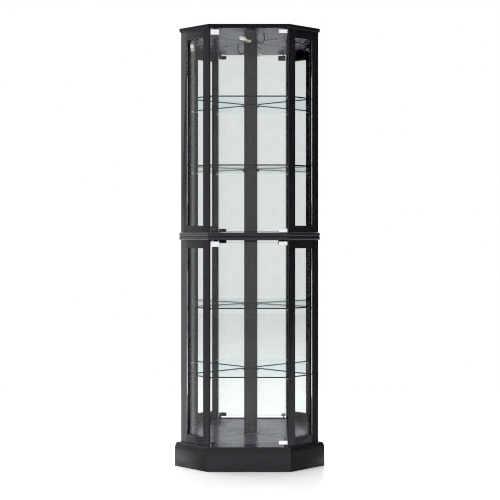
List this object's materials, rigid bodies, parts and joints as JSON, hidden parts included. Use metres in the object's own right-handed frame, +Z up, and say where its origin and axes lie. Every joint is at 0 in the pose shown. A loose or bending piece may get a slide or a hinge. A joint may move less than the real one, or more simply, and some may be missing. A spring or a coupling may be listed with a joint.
{
  "type": "corner curio cabinet",
  "caption": "Five-sided black corner display cabinet with two glass doors, glass sides, mirrored backs and glass shelves.",
  "frame": {"origin": "centre of the footprint's bounding box, on the floor", "axes": "+Z up, the doors face -Y, the right-angled back corner points to +Y, +X to the viewer's right"},
  "size_m": [0.6164, 0.4479, 1.8],
  "materials": {
    "black_wood": "satin black lacquer over fine-grained board",
    "back_board": "plain black painted backing board",
    "clear_glass": "clear polished glass",
    "door_glass": "clear tempered glass with ground edges",
    "shelf_glass": "clear glass with dark green polished edges",
    "mirror_glass": "silvered mirror",
    "chrome": "polished chrome plate",
    "black_metal": "smooth black coat on the lower hinge clamps",
    "black_plastic": "moulded black plastic, fine texture",
    "plunger_plastic": "moulded black plastic with a magnet in its tip",
    "wire_sheath": "black flexible sheath",
    "brass": "polished brass shell",
    "bulb_glass": "frosted bulb glass"
  },
  "bodies": {
    "case": {"base_board": "black_wood", "corner_post": "black_wood", "lamp_bulb": "bulb_glass", "lamp_socket": "brass", "lamp_wire": "wire_sheath", "left_back_panel": "back_board", "lower_bottom_latch_housing": "black_plastic", "lower_left_bottom_rail": "black_wood", "lower_left_front_stile": "black_wood", "lower_left_mirror": "mirror_glass", "lower_left_rear_stile": "black_wood", "lower_left_side_glass": "clear_glass", "lower_left_top_rail": "black_wood", "lower_right_bottom_rail": "black_wood", "lower_right_front_stile": "black_wood", "lower_right_mirror": "mirror_glass", "lower_right_rear_stile": "black_wood", "lower_right_side_glass": "clear_glass", "lower_right_top_rail": "black_wood", "lower_shelf_1": "shelf_glass", "lower_shelf_2": "shelf_glass", "lower_top_latch_housing": "black_plastic", "middle_board": "black_wood", "plinth_front": "black_wood", "plinth_left_back": "black_wood", "plinth_left_return": "black_wood", "plinth_right_back": "black_wood", "plinth_right_return": "black_wood", "right_back_panel": "back_board", "top_board": "black_wood", "upper_bottom_latch_housing": "black_plastic", "upper_left_bottom_rail": "black_wood", "upper_left_front_stile": "black_wood", "upper_left_mirror": "mirror_glass", "upper_left_rear_stile": "black_wood", "upper_left_side_glass": "clear_glass", "upper_left_top_rail": "black_wood", "upper_right_bottom_rail": "black_wood", "upper_right_front_stile": "black_wood", "upper_right_mirror": "mirror_glass", "upper_right_rear_stile": "black_wood", "upper_right_side_glass": "clear_glass", "upper_right_top_rail": "black_wood", "upper_shelf_1": "shelf_glass", "upper_shelf_2": "shelf_glass", "upper_top_latch_housing": "black_plastic"},
    "lower_door": {"lower_door_glass": "door_glass", "lower_bottom_hinge_clamp": "black_metal", "lower_bottom_strike": "chrome", "lower_top_hinge_clamp": "chrome", "lower_top_strike": "chrome"},
    "lower_bottom_plunger": {"lower_bottom_latch_plunger": "plunger_plastic"},
    "lower_top_plunger": {"lower_top_latch_plunger": "plunger_plastic"},
    "upper_door": {"upper_door_glass": "door_glass", "upper_bottom_hinge_clamp": "black_metal", "upper_bottom_strike": "chrome", "upper_top_hinge_clamp": "chrome", "upper_top_strike": "chrome"},
    "upper_bottom_plunger": {"upper_bottom_latch_plunger": "plunger_plastic"},
    "upper_top_plunger": {"upper_top_latch_plunger": "plunger_plastic"}
  },
  "joints": [
    {"name": "lower_door_hinge", "type": "hinge", "parent": "case", "child": "lower_door", "pos_m": [-0.14572, -0.20046, 0.1097], "axis": [0, 0, -1], "range_deg": [0, 105]},
    {"name": "lower_bottom_plunger_slide", "type": "slide", "parent": "case", "child": "lower_bottom_plunger", "axis": [0, -1, 0], "range_m": [0, 0.009]},
    {"name": "lower_top_plunger_slide", "type": "slide", "parent": "case", "child": "lower_top_plunger", "axis": [0, -1, 0], "range_m": [0, 0.009]},
    {"name": "upper_door_hinge", "type": "hinge", "parent": "case", "child": "upper_door", "pos_m": [-0.14572, -0.20046, 0.964], "axis": [0, 0, -1], "range_deg": [0, 105]},
    {"name": "upper_bottom_plunger_slide", "type": "slide", "parent": "case", "child": "upper_bottom_plunger", "axis": [0, -1, 0], "range_m": [0, 0.009]},
    {"name": "upper_top_plunger_slide", "type": "slide", "parent": "case", "child": "upper_top_plunger", "axis": [0, -1, 0], "range_m": [0, 0.009]}
  ],
  "couplings": [
    {"joint": "lower_bottom_plunger_slide", "follows": "lower_door_hinge", "m_per_rad": 0.0049},
    {"joint": "lower_top_plunger_slide", "follows": "lower_door_hinge", "m_per_rad": 0.0049},
    {"joint": "upper_bottom_plunger_slide", "follows": "upper_door_hinge", "m_per_rad": 0.0049},
    {"joint": "upper_top_plunger_slide", "follows": "upper_door_hinge", "m_per_rad": 0.0049}
  ]
}
